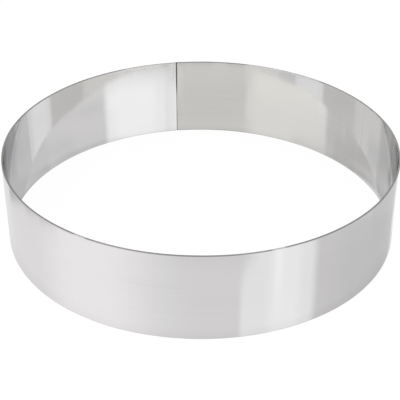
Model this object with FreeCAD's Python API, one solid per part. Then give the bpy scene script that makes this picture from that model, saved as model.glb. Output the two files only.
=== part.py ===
import FreeCAD, Part
import math
import os

# Pastry ring: a strip of stainless sheet, rolled into a hoop and welded edge to edge.
# Millimetres and degrees. The origin is the centre of the base, with +Z up.

# The hoop
outer_diameter = 200.0
height = 45.0
sheet = 1.0

# Deburred rims, top and bottom, on both faces of the wall
rim_radius = 0.2

# The seam. The rollers can't curve the last stretch of the strip, so both ends stay flat
# and meet in a slight peak. The bearing is measured from +X, anticlockwise from above.
seam_bearing = 98.4
flat_end = 7.0

# The weld is dressed to a rounded crown outside. Its root is a groove inside, which is
# widest and deepest at the top of the ring.
crown_width = 1.2
root_radius = 0.5
root_depth_top = 0.2
root_depth_bottom = 0.08

# How far a cutting shape runs past the face that it starts from
overrun = 2.0

outer_radius = outer_diameter / 2
inner_radius = outer_radius - sheet

# Half the angle that the flat ends turn at the seam
half_peak = math.atan(flat_end / outer_radius)
crown_radius = crown_width / 2 / math.sin(half_peak)
crown_centre = (outer_radius - crown_radius) / math.cos(half_peak)


def point(radius, angle, centre=0.0):
    """A point in plan, on a circle about a centre on the seam's bearing, which is +X here."""
    x = centre + radius * math.cos(angle)
    y = radius * math.sin(angle)
    return FreeCAD.Vector(x, y, 0)


def wall_outline(radius, blend):
    """One face of the wall in plan: the rolled arc, the two flat ends and the crown."""
    rolled_left = point(radius, half_peak)
    rolled_right = point(radius, -half_peak)
    crown_left = point(blend, half_peak, crown_centre)
    crown_right = point(blend, -half_peak, crown_centre)
    rolled = Part.Arc(rolled_left, point(radius, math.pi), rolled_right)
    right_end = Part.LineSegment(rolled_right, crown_right)
    crown = Part.Arc(crown_right, point(blend, 0.0, crown_centre), crown_left)
    left_end = Part.LineSegment(crown_left, rolled_left)
    return Part.Wire([curve.toShape() for curve in (rolled, right_end, crown, left_end)])


def hoop():
    """The rolled strip at full height, with square rims."""
    outside = wall_outline(outer_radius, crown_radius)
    inside = wall_outline(inner_radius, crown_radius - sheet)
    section = Part.makeFace([outside, inside], "Part::FaceMakerBullseye")
    return section.extrude(FreeCAD.Vector(0, 0, height))


def deburred(wall):
    """The wall with every edge of its two rims rounded."""
    rims = [edge for edge in wall.Edges if edge.BoundBox.ZLength < rim_radius]
    return wall.makeFillet(rim_radius, rims)


def root_groove():
    """A rod that leans into the inner face along the seam and leaves the weld's root."""
    inner_apex = crown_centre + crown_radius - sheet
    lean = (root_depth_top - root_depth_bottom) / height
    foot = inner_apex + root_depth_bottom - lean * overrun - root_radius
    start = FreeCAD.Vector(foot, 0, -overrun)
    direction = FreeCAD.Vector(lean, 0, 1)
    length = (height + 2 * overrun) * direction.Length
    return Part.makeCylinder(root_radius, length, start, direction)


def ring():
    """The finished ring, turned so that its seam lies on its bearing."""
    solid = deburred(hoop()).cut(root_groove())
    solid.rotate(FreeCAD.Vector(0, 0, 0), FreeCAD.Vector(0, 0, 1), seam_bearing)
    return solid.Solids[0]


os.makedirs("parts", exist_ok=True)
ring().exportStep("parts/ring.step")
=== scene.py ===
import math

import bmesh
import bpy
from mathutils import Matrix, Quaternion, Vector


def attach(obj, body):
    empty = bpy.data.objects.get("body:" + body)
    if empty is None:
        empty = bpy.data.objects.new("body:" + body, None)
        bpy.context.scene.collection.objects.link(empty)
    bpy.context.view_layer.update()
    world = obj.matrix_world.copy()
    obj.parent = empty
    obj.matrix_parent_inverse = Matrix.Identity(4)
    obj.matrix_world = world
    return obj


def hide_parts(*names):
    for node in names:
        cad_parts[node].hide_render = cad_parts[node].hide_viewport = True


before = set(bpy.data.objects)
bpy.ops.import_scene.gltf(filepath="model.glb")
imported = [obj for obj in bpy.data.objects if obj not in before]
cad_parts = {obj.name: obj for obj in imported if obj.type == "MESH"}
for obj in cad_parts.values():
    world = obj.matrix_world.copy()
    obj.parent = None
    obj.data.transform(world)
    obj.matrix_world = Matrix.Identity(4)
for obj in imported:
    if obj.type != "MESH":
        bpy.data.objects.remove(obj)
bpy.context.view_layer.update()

# The ring, in metres and radians. Its seam's bearing is measured from +X.
outer_radius = 0.100
height = 0.045
sheet = 0.001
rim_radius = 0.0002
seam_bearing = math.radians(98.4)
flat_end = 0.007
crown_width = 0.0012
root_radius = 0.0005
root_depth_top = 0.0002
root_depth_bottom = 0.00008

inner_radius = outer_radius - sheet
half_peak = math.atan(flat_end / outer_radius)
crown_radius = crown_width / 2 / math.sin(half_peak)
crown_centre = (outer_radius - crown_radius) / math.cos(half_peak)

# How far the rolled wall strays from a true cylinder, and its waves: how many go round,
# how far each turns over the height, where it starts, in radians, and its share
stray = 0.00005
stray_waves = (
    (5, 0.9, 0.0, 1.0),
    (9, -1.5, 2.0, 0.6),
    (17, 2.0, 4.0, 0.3),
)

# How finely the ring is divided, and the gap between the rims' corners and the wall's rows
arc_steps = 1080
flat_steps = 8
crown_steps = 9
wall_levels = 8
corner_steps = 4
corner_gap = 0.00008

# The steel's colours, how strongly it is brushed, and which way
steel_colour = (0.652, 0.647, 0.650)
specular_tint = (0.905, 0.905, 0.905, 1)
tint_colour = (1.0, 0.97, 0.90, 1)
root_colour = (0.15, 0.15, 0.15, 1)
brushing = 0.75
brushing_turn = 0.25

# Each grain: how many to a metre along the strip and up the wall, how many finer levels of
# detail, and its place in the noise. The inner face takes its grains further on.
fine_grain = (60.0, 5200.0, 3.0, 0.0)
line_grain = (9.0, 1100.0, 2.0, 3.0)
cloud_grain = (28.0, 60.0, 3.0, 11.0)
wave_grain = (32.0, 14.0, 1.0, 19.0)
stroke_grain = (3200.0, 90.0, 2.0, 23.0)
scratch_grain = (2600.0, 40.0, 2.0, 0.0)
inner_grain = 7.0

# How much each of these lightens or darkens the steel
cloud_shade = 0.05
line_shade = 0.05
stroke_shade = 0.35
scratch_shade = 0.12
# The rims' darkening on the next line is painted shade along the rounded rims
painted_rim_shade = 0.42
tint_share = 0.2

# The polished steel's roughness, and what each of these adds to it
polish = 0.03
line_roughness = 0.03
cloud_roughness = 0.03
scuff_roughness = 0.04
rim_roughness = 0.12
dressed_roughness = 0.08
root_roughness = 0.35

# How high the grain, the lines and the waves stand
grain_relief = 0.0000002
line_relief = 0.0000008
wave_relief = 0.00006

# In each pair of reaches, levels or edges below, a mark starts to show at the first value
# and is full at the second. The inner face is told from the outer one by a radius, and the
# rims and the scuffs beside them are measured from the rims.
inside_edge = (outer_radius - 0.2 * sheet, outer_radius - 0.4 * sheet)
rim_reach = (1.4 * rim_radius, 0.6 * rim_radius)
scuff_reach = (0.0016, 0.0)

# Where the painted shade along the rims is left off, so that the rims show bright there: from, to and
# softness, along the strip from the weld
unshaded_rim_spans = (
    (-0.010, 0.032, 0.007),
    (0.2405, 0.2465, 0.003),
    (0.331, 0.337, 0.003),
    (0.540, 0.586, 0.006),
)

# The weld's dark root: its half width at the top, the share of that at the foot, and its
# edge in half widths. It is strongest near both rims: each has two levels, as shares of the
# height, and the strengths there.
root_half_width = 0.00052
root_foot_share = 0.45
root_edge = (1.1, 0.6)
root_top = (0.5, 0.7, 0.5, 1.0)
root_foot = (0.4, 0.2, 0.5, 0.95)

# The heat tint on both sides of the weld, and the dressed patch on its first side, which
# lies near the top. Levels are shares of the height.
tint_reach = (0.004, 0.0)
dressed_reach = (0.007, 0.001)
dressed_levels = (0.6, 0.85)

# The bright scratches on the weld's other side: their reaches from it, near and far, their
# levels at the foot and the top, where the noise lets them show, and how much they bow
scratch_near = (0.0003, 0.0006)
scratch_far = (0.0055, 0.0015)
scratch_foot = (0.2, 0.45)
scratch_top = (1.0, 0.9)
scratch_edge = (0.4, 0.62)
scratch_bow = 0.006

# The camera: the photograph's viewing angle
camera_place = Vector((0.0, -0.4508, 0.2921))
camera_aim = Vector((-0.00038, 0.0, 0.01093))
camera_roll = math.radians(0.086)
camera_lens = 91.1
sensor_width = 36.0

# The white table: half its width, its colour, the strength and share of the white that the
# camera sees, and the share and roughness of the gloss that the steel mirrors
table_reach = 3.0
table_colour = (0.9, 0.9, 0.9, 1)
table_white = 1.04
table_white_share = 0.9
table_gloss = 0.45
gloss_roughness = 0.03

# The table's shade as the steel mirrors it: a line along the inner face's foot, over a span
# of X (from, to and softness), and a soft shade on both sides of the wall
corner_reach = 0.0013
corner_dark = 0.5
corner_span = (-0.055, 0.055, 0.012)
contact_reach = 0.008
contact_dark = 0.1

# Where the soft shade is deeper or lighter inside, a little off the wall: from, to and
# softness along X, and how much
off_wall_reach = (0.0012, 0.0030)
foot_spans = (
    (-0.120, -0.088, 0.008, -0.1),
    (-0.086, -0.046, 0.012, 0.2),
    (0.084, 0.120, 0.008, 0.45),
)

# The round wall of lit panels around the table: its columns and rows, in stretches from, to
# and step in degrees, which are finer where the panels' edges are crisp
wall_distance = 2.9
wall_columns = ((0, 165, 1), (165, 195, 0.5), (195, 360, 1))
wall_rows = ((2, 24, 0.5), (24, 34.5, 0.1), (34.5, 50.5, 0.5))

# The light of the wall where no panel stands, and of the air around it
base_light = (1.0, 1.0, 1.0)
world_light = 0.8

# Each panel: azimuth from and to, elevation from and to, softness of its sides and of its
# top and bottom, and its light. Angles are in degrees, as seen from the ring, and azimuth
# is measured from -Y towards +X. A later panel stands in front of an earlier one.
panels = (
    (-140, -20, 30.9, 60, 50, 0.3, (1.18, 1.14, 1.16)),
    (-94, -38, 30.9, 60, 36, 0.3, (1.52, 1.47, 1.50)),
    (-12, 45, 30.9, 60, 36, 0.3, (0.93, 0.89, 0.91)),
    (22, 90, 30.9, 60, 3.5, 0.3, (1.34, 1.34, 1.34)),
    (40, 58, 30.9, 60, 8, 0.3, (1.53, 1.53, 1.53)),
    (42.5, 46.5, 30.9, 36, 2.5, 2.5, (1.72, 1.72, 1.72)),
    (67.8, 170, 30.9, 60, 7, 0.3, (0.68, 0.65, 0.67)),
    (84, 170, 30.9, 60, 30, 0.3, (0.56, 0.55, 0.56)),
    (118, 170, 30.9, 60, 30, 0.3, (0.49, 0.48, 0.49)),
    (5, 24, 30.9, 35, 4, 2.0, (0.92, 0.89, 0.91)),
    (5, 26.3, 30.9, 34, 4, 0.6, (0.92, 0.89, 0.91)),
    (-14, 28, 30.9, 34, 14, 0.8, (0.81, 0.78, 0.80)),
    (-200, -160, 27.8, 60, 34, 1.0, (0.45, 0.45, 0.45)),
    (151, 176, 28, 60, 6, 1.0, (0.92, 0.92, 0.92)),
    (152.5, 164, 22, 32.4, 4, 4.0, (1.23, 1.23, 1.23)),
    (150, 177, 32.8, 60, 8, 1.2, (0.72, 0.72, 0.72)),
    (-30, 22, 2, 30.9, 5, 0.3, (0.64, 0.63, 0.54)),
    (-34, 22, 2, 25.5, 5, 0.8, (0.76, 0.75, 0.66)),
    (-20, 8, 27.0, 27.8, 6, 0.6, (0.55, 0.54, 0.50)),
    (-36, 22, 27.9, 30.9, 5, 0.6, (0.72, 0.71, 0.66)),
    (-83.5, -33, 2, 30.9, 12, 0.3, (1.04, 1.03, 0.94)),
    (-80, -36, 2, 26.4, 8, 0.8, (1.20, 1.19, 1.06)),
    (-88, -62, 29.0, 30.9, 8, 0.6, (0.65, 0.64, 0.64)),
    (-102, -87, 2, 31.5, 4, 0.3, (0.45, 0.44, 0.39)),
    (-116, -102, 2, 31.1, 4, 0.3, (0.42, 0.41, 0.36)),
    (-139, -116, 2, 30.6, 4, 0.3, (0.40, 0.39, 0.36)),
    (-139, -94, 28.9, 30.3, 4, 0.3, (0.22, 0.22, 0.19)),
    (-132, -84, 2, 26.25, 6, 0.2, (1.40, 1.39, 1.30)),
    (-104, -80, 2, 26.25, 6, 0.2, (1.66, 1.65, 1.55)),
    (22, 63.6, 2, 30.9, 6, 0.3, (1.57, 1.57, 1.57)),
    (30, 57, 2, 30.9, 8, 0.3, (1.69, 1.69, 1.69)),
    (30, 62, 26.1, 26.75, 4, 0.3, (1.88, 1.88, 1.86)),
    (20, 42, 2, 25.05, 4, 0.3, (0.95, 0.95, 0.95)),
    (42, 66, 2, 25.35, 4, 0.3, (1.14, 1.14, 1.14)),
    (65.5, 150, 2, 31.3, 4, 0.5, (0.62, 0.60, 0.61)),
    (68, 98, 26.2, 26.9, 4, 0.4, (0.58, 0.56, 0.57)),
    (66, 114, 26.9, 28.6, 4, 0.6, (0.84, 0.81, 0.83)),
    (66, 86, 28.6, 31.3, 4, 0.4, (0.88, 0.86, 0.87)),
    (66, 92, 28.8, 29.5, 4, 0.3, (0.68, 0.66, 0.67)),
    (84, 112, 30.0, 31.0, 4, 0.4, (0.92, 0.90, 0.91)),
    (65.5, 82, 2, 26.22, 2, 0.2, (1.00, 0.99, 0.95)),
    (82, 128, 2, 26.22, 4, 0.2, (1.45, 1.44, 1.35)),
    (166, 194, 2, 27.5, 6, 3.0, (0.42, 0.42, 0.42)),
    (168, 192, 33.5, 42, 3, 2.0, (0.05, 0.05, 0.05)),
    (173.6, 177.4, 33.8, 42, 1.5, 1.0, (2.20, 2.20, 2.20)),
    (185.0, 188.8, 33.8, 42, 1.5, 1.0, (2.20, 2.20, 2.20)),
    (172.5, 177.8, 30.9, 33.4, 1.5, 0.6, (1.80, 1.80, 1.80)),
    (181.8, 187.2, 30.9, 33.4, 1.5, 0.6, (1.80, 1.80, 1.80)),
)


def smooth(value):
    """0 up to 0, 1 from 1 on, and an even curve between them."""
    value = min(1.0, max(0.0, value))
    return value * value * (3 - 2 * value)


def window(value, start, end, softness):
    """1 between two limits and 0 outside them, with the change spread over the softness."""
    opening = smooth((value - start) / softness + 0.5)
    closing = smooth((end - value) / softness + 0.5)
    return opening * closing


def root_cut(offset, level):
    """How deep the weld's root groove is, at a distance from the weld and above the base."""
    if offset >= root_radius:
        return 0.0
    arch = root_radius - math.sqrt(root_radius ** 2 - offset ** 2)
    depth = root_depth_bottom + (root_depth_top - root_depth_bottom) * level / height
    return max(0.0, depth - arch)


def out_of_true(bearing, level):
    """How far the wall stands outward from a true cylinder at a bearing and a height."""
    total = 0.0
    for count, lean, start, share in stray_waves:
        total += share * math.sin(count * bearing + start + lean * level / height)
    return stray * total


def direction(turn):
    """A unit vector in plan."""
    return Vector((math.cos(turn), math.sin(turn)))


def stations():
    """Places along the strip in plan, from the weld right round, and the strip's length.

    Each is a point on the outer face, the outward normal there and the distance from the
    weld along the outer face. The seam's bearing is +X here.
    """
    crown_middle = Vector((crown_centre, 0))
    crown_length = crown_radius * half_peak
    flat_normal = direction(half_peak)
    flat_start = crown_middle + crown_radius * flat_normal
    flat_stop = outer_radius * flat_normal
    flat_length = (flat_stop - flat_start).length
    first_half = []
    for step in range(crown_steps):
        share = step / crown_steps
        normal = direction(half_peak * share)
        place = crown_middle + crown_radius * normal
        first_half.append((place, normal, crown_length * share))
    for step in range(flat_steps):
        share = step / flat_steps
        place = flat_start.lerp(flat_stop, share)
        first_half.append((place, flat_normal, crown_length + flat_length * share))
    end_length = crown_length + flat_length
    sweep = 2 * (math.pi - half_peak)
    rolled = []
    for step in range(arc_steps + 1):
        turn = sweep * step / arc_steps
        normal = direction(half_peak + turn)
        rolled.append((outer_radius * normal, normal, end_length + outer_radius * turn))
    whole = 2 * end_length + outer_radius * sweep
    second_half = []
    for place, normal, along in reversed(first_half[1:]):
        mirrored_place = Vector((place.x, -place.y))
        mirrored_normal = Vector((normal.x, -normal.y))
        second_half.append((mirrored_place, mirrored_normal, whole - along))
    return first_half + rolled + second_half, whole


def section():
    """The wall's outline across the strip, as pairs of inset from the outer face and height."""
    points = []
    lowest = rim_radius + corner_gap
    rise = (height - 2 * lowest) / wall_levels
    levels = [lowest + rise * step for step in range(wall_levels + 1)]

    def corner(inset, level, start):
        for step in range(corner_steps + 1):
            turn = direction(math.radians(start - 90 * step / corner_steps))
            points.append((inset + rim_radius * turn.x, level + rim_radius * turn.y))

    for level in levels:
        points.append((0.0, level))
    corner(rim_radius, height - rim_radius, 180)
    points.append((sheet / 2, height))
    corner(sheet - rim_radius, height - rim_radius, 90)
    for level in reversed(levels):
        points.append((sheet, level))
    corner(sheet - rim_radius, rim_radius, 0)
    points.append((sheet / 2, 0.0))
    corner(rim_radius, rim_radius, -90)
    return points


def build_ring():
    """The ring as one closed mesh, with a map that runs along and across the strip."""
    rows, whole = stations()
    outline = section()
    turn = Matrix.Rotation(seam_bearing, 3, "Z")
    shape = bmesh.new()
    grid = []
    for point, normal, along in rows:
        offset = min(along, whole - along)
        bearing = math.atan2(normal.y, normal.x) + seam_bearing
        column = []
        for inset, level in outline:
            outward = out_of_true(bearing, level) - inset
            if inset > sheet / 2:
                outward += root_cut(offset, level)
            place = point + normal * outward
            column.append(shape.verts.new(turn @ Vector((place.x, place.y, level))))
        grid.append(column)
    around = [0.0]
    for first, second in zip(outline, outline[1:] + outline[:1]):
        around.append(around[-1] + math.dist(first, second))
    strip_map = shape.loops.layers.uv.new("strip")
    for row in range(len(rows)):
        following = (row + 1) % len(rows)
        from_along = rows[row][2]
        to_along = rows[following][2] if following else whole
        here = grid[row]
        there = grid[following]
        for step in range(len(outline)):
            beside = (step + 1) % len(outline)
            face = shape.faces.new((here[step], there[step], there[beside], here[beside]))
            face.smooth = True
            along = (from_along, to_along, to_along, from_along)
            across = (around[step], around[step], around[step + 1], around[step + 1])
            for loop, u, v in zip(face.loops, along, across):
                loop[strip_map].uv = (u / whole, v / whole)
    mesh = bpy.data.meshes.new("pastry_ring")
    shape.to_mesh(mesh)
    shape.free()
    ring = bpy.data.objects.new("pastry_ring", mesh)
    bpy.context.scene.collection.objects.link(ring)
    return ring, whole


def node(tree, kind, inputs=None, **settings):
    """Add a node, apply its settings and fill its inputs with values or links."""
    made = tree.nodes.new(kind)
    for name, value in settings.items():
        setattr(made, name, value)
    for name, value in (inputs or {}).items():
        if isinstance(value, bpy.types.NodeSocket):
            tree.links.new(value, made.inputs[name])
        else:
            made.inputs[name].default_value = value
    return made


def calculate(tree, operation, *values):
    """A Math node's result."""
    return node(tree, "ShaderNodeMath", dict(enumerate(values)), operation=operation).outputs[0]


def product(tree, result, *others):
    """Values multiplied together."""
    for other in others:
        result = calculate(tree, "MULTIPLY", result, other)
    return result


def layered(tree, result, *layers):
    """A value with layers added to it, each given by where it lies and its amount."""
    for place, amount in layers:
        result = calculate(tree, "MULTIPLY_ADD", place, amount, result)
    return result


def ramp(tree, value, start, end, low=0.0, high=1.0):
    """A smooth change from low to high as a value runs from start to end."""
    inputs = {"Value": value, "From Min": start, "From Max": end, "To Min": low, "To Max": high}
    return node(tree, "ShaderNodeMapRange", inputs, interpolation_type="SMOOTHSTEP").outputs["Result"]


def span(tree, value, start, end, softness):
    """1 while a value lies between two limits and 0 outside them, with soft ends."""
    opening = ramp(tree, value, start - softness / 2, start + softness / 2)
    closing = ramp(tree, value, end + softness / 2, end - softness / 2)
    return product(tree, opening, closing)


def mixed_colour(tree, share, first, second, blend="MIX"):
    """Two colours mixed. A Mix node's colours are its inputs 6 and 7 and its output 2."""
    inputs = {"Factor": share, 6: first, 7: second}
    return node(tree, "ShaderNodeMix", inputs, data_type="RGBA", blend_type=blend).outputs[2]


def mixed_shader(tree, share, first, second):
    """Two shaders mixed."""
    return node(tree, "ShaderNodeMixShader", {0: share, 1: first, 2: second}).outputs[0]


def noise(tree, along, level, layer, grain):
    """Even noise over the strip, with a grain from the list at the top."""
    by_along, by_level, detail, shift = grain
    inputs = {
        "X": product(tree, along, by_along),
        "Y": product(tree, level, by_level),
        "Z": calculate(tree, "ADD", layer, shift),
    }
    place = node(tree, "ShaderNodeCombineXYZ", inputs).outputs[0]
    made = node(tree, "ShaderNodeTexNoise", {"Vector": place, "Scale": 1.0, "Detail": detail})
    return made.outputs["Fac"]


def strip_places(tree, whole):
    """How far a point lies along the strip and above the base, and 1 on the inner face."""
    strip = node(tree, "ShaderNodeUVMap", uv_map="strip").outputs["UV"]
    strip_x = node(tree, "ShaderNodeSeparateXYZ", {"Vector": strip}).outputs["X"]
    place = node(tree, "ShaderNodeTexCoord").outputs["Object"]
    split = node(tree, "ShaderNodeSeparateXYZ", {"Vector": place}).outputs
    squares = [product(tree, split[axis], split[axis]) for axis in "XY"]
    radius = calculate(tree, "SQRT", calculate(tree, "ADD", *squares))
    return product(tree, strip_x, whole), split["Z"], ramp(tree, radius, *inside_edge)


def weld_root(tree, offset, rise, inside):
    """Where the weld's root shows inside: a line that narrows downward."""
    foot_half_width = root_half_width * root_foot_share
    half_width = ramp(tree, rise, 0.0, 1.0, foot_half_width, root_half_width)
    line = ramp(tree, calculate(tree, "DIVIDE", offset, half_width), *root_edge)
    strength = calculate(tree, "MAXIMUM", ramp(tree, rise, *root_top), ramp(tree, rise, *root_foot))
    return product(tree, line, inside, strength)


def weld_scratches(tree, along, from_end, level, rise, layer):
    """Where upright scratches, bowed a little, show near the strip's far end."""
    bow = product(tree, rise, calculate(tree, "SUBTRACT", 1.0, rise), scratch_bow)
    pattern = noise(tree, calculate(tree, "ADD", along, bow), level, layer, scratch_grain)
    beside = product(tree, ramp(tree, from_end, *scratch_near), ramp(tree, from_end, *scratch_far))
    levels = product(tree, ramp(tree, rise, *scratch_foot), ramp(tree, rise, *scratch_top))
    return product(tree, beside, levels, ramp(tree, pattern, *scratch_edge))


def steel(whole):
    """Bright rolled stainless sheet, with its weld's root, heat tint and dressing, and painted shade
    along its rims.
    """
    material = bpy.data.materials.new("steel")
    material.use_nodes = True
    tree = material.node_tree
    shader = tree.nodes["Principled BSDF"]

    along, level, inside = strip_places(tree, whole)
    layer = product(tree, inside, inner_grain)
    grain = noise(tree, along, level, layer, fine_grain)
    lines = noise(tree, along, level, layer, line_grain)
    clouds = noise(tree, along, level, layer, cloud_grain)
    waves = noise(tree, along, level, layer, wave_grain)
    strokes = noise(tree, along, level, layer, stroke_grain)

    rise = calculate(tree, "DIVIDE", level, height)
    from_end = calculate(tree, "SUBTRACT", whole, along)
    offset = calculate(tree, "MINIMUM", along, from_end)
    root = weld_root(tree, offset, rise, inside)
    scratches = weld_scratches(tree, along, from_end, level, rise, layer)
    dressed = product(tree, ramp(tree, along, *dressed_reach), ramp(tree, rise, *dressed_levels))
    tinted = product(tree, ramp(tree, offset, *tint_reach), tint_share)

    from_rim = calculate(tree, "MINIMUM", level, calculate(tree, "SUBTRACT", height, level))
    rim = ramp(tree, from_rim, *rim_reach)
    scuffed = ramp(tree, from_rim, *scuff_reach)
    # Painted shade along the rims, left off over the spans listed at the top
    rim_unshaded = 0.0
    for start, end, softness in unshaded_rim_spans:
        rim_unshaded = calculate(tree, "MAXIMUM", rim_unshaded, span(tree, along, start, end, softness))
    painted_rim_dark = product(tree, rim, ramp(tree, rim_unshaded, 0.0, 1.0, painted_rim_shade, 0.0))

    cloud_tone = layered(tree, 1 - cloud_shade / 2, (clouds, cloud_shade))
    line_tone = layered(tree, 1 - line_shade / 2, (lines, line_shade))
    stroke_tone = product(tree, calculate(tree, "SUBTRACT", strokes, 0.5), dressed)
    tone = product(tree, cloud_tone, line_tone)
    tone = layered(tree, tone, (stroke_tone, stroke_shade), (scratches, scratch_shade))
    tone = calculate(tree, "SUBTRACT", tone, painted_rim_dark)
    toned = node(tree, "ShaderNodeVectorMath", {0: steel_colour, "Scale": tone}, operation="SCALE")
    warmed = mixed_colour(tree, tinted, toned.outputs["Vector"], tint_colour, "MULTIPLY")
    rooted = mixed_colour(tree, root, warmed, root_colour)
    tree.links.new(rooted, shader.inputs["Base Color"])

    rough = layered(tree, polish, (lines, line_roughness), (clouds, cloud_roughness))
    rough = layered(tree, rough, (scuffed, scuff_roughness), (rim, rim_roughness))
    rough = layered(tree, rough, (dressed, dressed_roughness), (root, root_roughness))
    tree.links.new(rough, shader.inputs["Roughness"])

    relief = product(tree, grain, grain_relief)
    relief = layered(tree, relief, (lines, line_relief), (waves, wave_relief))
    bump = node(tree, "ShaderNodeBump", {"Height": relief, "Distance": 1.0, "Strength": 1.0})
    tree.links.new(bump.outputs["Normal"], shader.inputs["Normal"])

    tangent = node(tree, "ShaderNodeTangent", direction_type="RADIAL", axis="Z")
    tree.links.new(tangent.outputs["Tangent"], shader.inputs["Tangent"])
    shader.inputs["Metallic"].default_value = 1.0
    shader.inputs["Specular Tint"].default_value = specular_tint
    shader.inputs["Anisotropic"].default_value = brushing
    shader.inputs["Anisotropic Rotation"].default_value = brushing_turn
    return material


def wall_steps(stretches):
    """Even steps through stretches, each a start, an end and a step, without the last end."""
    return [
        start + step * count
        for start, end, step in stretches
        for count in range(round((end - start) / step))
    ]


def wall_lights(azimuths, elevations):
    """The studio wall's light at each azimuth and elevation, a list for each azimuth."""
    lights = [[Vector(base_light) for elevation in elevations] for azimuth in azimuths]
    for left, right, low, high, side_softness, end_softness, colour in panels:
        uprights = [window(elevation, low, high, end_softness) for elevation in elevations]
        for azimuth, column in zip(azimuths, lights):
            turns = (azimuth - 360, azimuth, azimuth + 360)
            turned = max(window(turn, left, right, side_softness) for turn in turns)
            for row, upright in enumerate(uprights):
                if turned * upright > 0:
                    column[row] = column[row].lerp(Vector(colour), turned * upright)
    return lights


def build_wall():
    """The round wall of lit panels, which the camera doesn't see."""
    azimuths = wall_steps(wall_columns)
    elevations = wall_steps(wall_rows)
    points, faces = [], []
    for azimuth in azimuths:
        turn = math.radians(azimuth)
        for elevation in elevations:
            level = wall_distance * math.tan(math.radians(elevation))
            points.append((wall_distance * math.sin(turn), -wall_distance * math.cos(turn), level))
    rows = len(elevations)
    for column in range(len(azimuths)):
        following = (column + 1) % len(azimuths)
        for row in range(rows - 1):
            here = column * rows + row
            there = following * rows + row
            faces.append((here, there, there + 1, here + 1))
    mesh = bpy.data.meshes.new("studio_wall")
    mesh.from_pydata(points, [], faces)
    shine = mesh.attributes.new("panel_light", "FLOAT_COLOR", "POINT")
    lights = [light for column in wall_lights(azimuths, elevations) for light in column]
    for number, light in enumerate(lights):
        shine.data[number].color = (light.x, light.y, light.z, 1.0)
    material = bpy.data.materials.new("studio_wall")
    material.use_nodes = True
    tree = material.node_tree
    tree.nodes.remove(tree.nodes["Principled BSDF"])
    colour = node(tree, "ShaderNodeAttribute", attribute_name="panel_light").outputs["Color"]
    emission = node(tree, "ShaderNodeEmission", {"Color": colour})
    tree.links.new(emission.outputs[0], tree.nodes["Material Output"].inputs["Surface"])
    mesh.materials.append(material)
    wall = bpy.data.objects.new("studio_wall", mesh)
    bpy.context.scene.collection.objects.link(wall)
    wall.visible_camera = False


def table_shade(tree):
    """How dark the ring leaves the table near its foot, as the steel mirrors it."""
    position = node(tree, "ShaderNodeNewGeometry").outputs["Position"]
    reach = node(tree, "ShaderNodeVectorMath", {0: position}, operation="LENGTH").outputs["Value"]
    right = node(tree, "ShaderNodeSeparateXYZ", {"Vector": position}).outputs["X"]
    inside = ramp(tree, reach, outer_radius, inner_radius)
    line = ramp(tree, reach, inner_radius - corner_reach, inner_radius, 0.0, corner_dark)
    shade = product(tree, line, span(tree, right, *corner_span), inside)
    from_middle = calculate(tree, "SUBTRACT", reach, outer_radius - sheet / 2)
    from_wall = calculate(tree, "ABSOLUTE", from_middle)
    contact = ramp(tree, from_wall, contact_reach, sheet / 2)
    shade = layered(tree, shade, (contact, contact_dark))
    off_wall = product(tree, contact, ramp(tree, from_wall, *off_wall_reach), inside)
    for start, end, softness, deeper in foot_spans:
        there = product(tree, off_wall, span(tree, right, start, end, softness))
        shade = layered(tree, shade, (there, deeper))
    return shade


def build_table():
    """A white table: plain white to the camera, with a gloss that the metal shows."""
    corners = [(-1, -1, 0), (1, -1, 0), (1, 1, 0), (-1, 1, 0)]
    mesh = bpy.data.meshes.new("table")
    mesh.from_pydata([table_reach * Vector(corner) for corner in corners], [], [(0, 1, 2, 3)])
    material = bpy.data.materials.new("table")
    material.use_nodes = True
    tree = material.node_tree
    tree.nodes.remove(tree.nodes["Principled BSDF"])
    path = node(tree, "ShaderNodeLightPath").outputs
    matt = node(tree, "ShaderNodeBsdfDiffuse", {"Color": table_colour}).outputs[0]
    white = node(tree, "ShaderNodeEmission", {"Strength": table_white}).outputs[0]
    finish = {"Color": (1, 1, 1, 1), "Roughness": gloss_roughness}
    gloss = node(tree, "ShaderNodeBsdfGlossy", finish).outputs[0]
    strength = calculate(tree, "SUBTRACT", 1.0, table_shade(tree))
    shaded = node(tree, "ShaderNodeEmission", {"Strength": strength}).outputs[0]

    seen = mixed_shader(tree, table_white_share, matt, white)
    mirrored = mixed_shader(tree, table_gloss, shaded, gloss)
    lit = mixed_shader(tree, path["Is Camera Ray"], matt, seen)
    surface = mixed_shader(tree, path["Is Glossy Ray"], lit, mirrored)
    tree.links.new(surface, tree.nodes["Material Output"].inputs["Surface"])
    mesh.materials.append(material)
    table = bpy.data.objects.new("table", mesh)
    bpy.context.scene.collection.objects.link(table)


def build_camera():
    """The camera of the photograph."""
    data = bpy.data.cameras.new("camera")
    data.lens = camera_lens
    data.sensor_width = sensor_width
    camera = bpy.data.objects.new("camera", data)
    bpy.context.scene.collection.objects.link(camera)
    camera.location = camera_place
    aim = (camera_aim - camera_place).to_track_quat("-Z", "Y")
    camera.rotation_mode = "QUATERNION"
    camera.rotation_quaternion = aim @ Quaternion((0, 0, 1), camera_roll)
    bpy.context.scene.camera = camera


def build_world():
    """Plain studio air: white to the camera, pale grey light on everything else."""
    world = bpy.data.worlds.new("studio")
    bpy.context.scene.world = world
    world.use_nodes = True
    tree = world.node_tree
    background = tree.nodes["Background"]
    background.inputs["Color"].default_value = (1, 1, 1, 1)
    path = node(tree, "ShaderNodeLightPath").outputs
    strength = ramp(tree, path["Is Camera Ray"], 0.0, 1.0, world_light, 1.0)
    tree.links.new(strength, background.inputs["Strength"])


build_camera()
ring, strip_length = build_ring()
ring.data.materials.append(steel(strip_length))
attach(ring, "root")
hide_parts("ring")

build_world()
build_table()
build_wall()

bpy.context.scene.view_settings.view_transform = "Standard"
